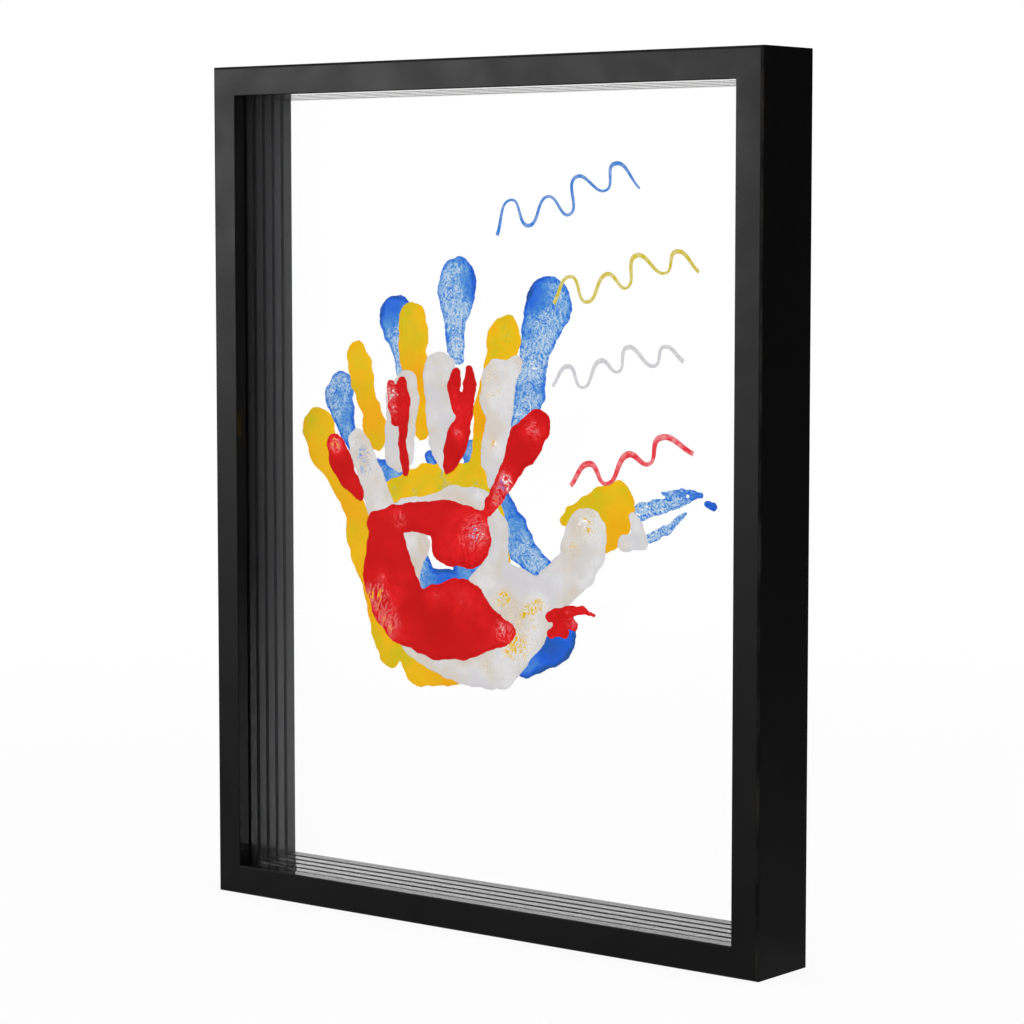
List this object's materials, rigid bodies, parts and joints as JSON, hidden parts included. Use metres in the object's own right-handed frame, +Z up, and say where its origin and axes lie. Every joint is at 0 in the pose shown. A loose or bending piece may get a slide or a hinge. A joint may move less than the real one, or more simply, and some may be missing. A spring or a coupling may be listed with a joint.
{
  "type": "handprint display frame",
  "caption": "Deep black picture frame holding spaced clear sheets with nested painted handprints, closed at the back by retainer strips and turn buttons.",
  "frame": {"origin": "centre of the flat bottom face that the frame stands on", "axes": "+X to the right seen from the front, +Y from the front to the back, +Z up"},
  "size_m": [0.2968, 0.0388, 0.373],
  "materials": {
    "black_painted_wood": "satin black paint on wood",
    "clear_acrylic": "polished clear acrylic sheet",
    "black_plastic": "glossy black plastic",
    "red_paint": "dried acrylic craft paint",
    "white_paint": "dried acrylic craft paint",
    "yellow_paint": "dried acrylic craft paint",
    "blue_paint": "dried acrylic craft paint",
    "zinc_plated_steel": "zinc plated pressed steel"
  },
  "bodies": {
    "frame": {"rail_top": "black_painted_wood", "retainer_top": "black_painted_wood", "rail_bottom": "black_painted_wood", "retainer_bottom": "black_painted_wood", "rail_left": "black_painted_wood", "retainer_left": "black_painted_wood", "rail_right": "black_painted_wood", "retainer_right": "black_painted_wood", "cover_sheet": "clear_acrylic", "red_print_sheet": "clear_acrylic", "white_print_sheet": "clear_acrylic", "yellow_print_sheet": "clear_acrylic", "blue_print_sheet": "clear_acrylic", "spacer_frame_1": "black_plastic", "spacer_frame_2": "black_plastic", "spacer_frame_3": "black_plastic", "spacer_frame_4": "black_plastic", "handprint_red": "red_paint", "handprint_white": "white_paint", "handprint_yellow": "yellow_paint", "handprint_blue": "blue_paint", "turn_button_screws": "zinc_plated_steel", "sawtooth_hanger": "zinc_plated_steel", "hanger_nails": "zinc_plated_steel", "corner_v_nails": "zinc_plated_steel"},
    "turn_button_top_left": {"turn_button_top_left": "zinc_plated_steel"},
    "turn_button_bottom_left": {"turn_button_bottom_left": "zinc_plated_steel"},
    "turn_button_top_right": {"turn_button_top_right": "zinc_plated_steel"},
    "turn_button_bottom_right": {"turn_button_bottom_right": "zinc_plated_steel"},
    "turn_button_left_upper": {"turn_button_left_upper": "zinc_plated_steel"},
    "turn_button_right_upper": {"turn_button_right_upper": "zinc_plated_steel"},
    "turn_button_left_lower": {"turn_button_left_lower": "zinc_plated_steel"},
    "turn_button_right_lower": {"turn_button_right_lower": "zinc_plated_steel"}
  },
  "joints": [
    {"name": "top_left_button_turn", "type": "hinge", "parent": "frame", "child": "turn_button_top_left", "pos_m": [-0.07, 0.018, 0.368], "axis": [0, 1, 0], "continuous": true},
    {"name": "bottom_left_button_turn", "type": "hinge", "parent": "frame", "child": "turn_button_bottom_left", "pos_m": [-0.07, 0.018, 0.005], "axis": [0, 1, 0], "continuous": true},
    {"name": "top_right_button_turn", "type": "hinge", "parent": "frame", "child": "turn_button_top_right", "pos_m": [0.07, 0.018, 0.368], "axis": [0, 1, 0], "continuous": true},
    {"name": "bottom_right_button_turn", "type": "hinge", "parent": "frame", "child": "turn_button_bottom_right", "pos_m": [0.07, 0.018, 0.005], "axis": [0, 1, 0], "continuous": true},
    {"name": "left_upper_button_turn", "type": "hinge", "parent": "frame", "child": "turn_button_left_upper", "pos_m": [-0.1434, 0.018, 0.2815], "axis": [0, 1, 0], "continuous": true},
    {"name": "right_upper_button_turn", "type": "hinge", "parent": "frame", "child": "turn_button_right_upper", "pos_m": [0.1434, 0.018, 0.2815], "axis": [0, 1, 0], "continuous": true},
    {"name": "left_lower_button_turn", "type": "hinge", "parent": "frame", "child": "turn_button_left_lower", "pos_m": [-0.1434, 0.018, 0.0915], "axis": [0, 1, 0], "continuous": true},
    {"name": "right_lower_button_turn", "type": "hinge", "parent": "frame", "child": "turn_button_right_lower", "pos_m": [0.1434, 0.018, 0.0915], "axis": [0, 1, 0], "continuous": true}
  ]
}
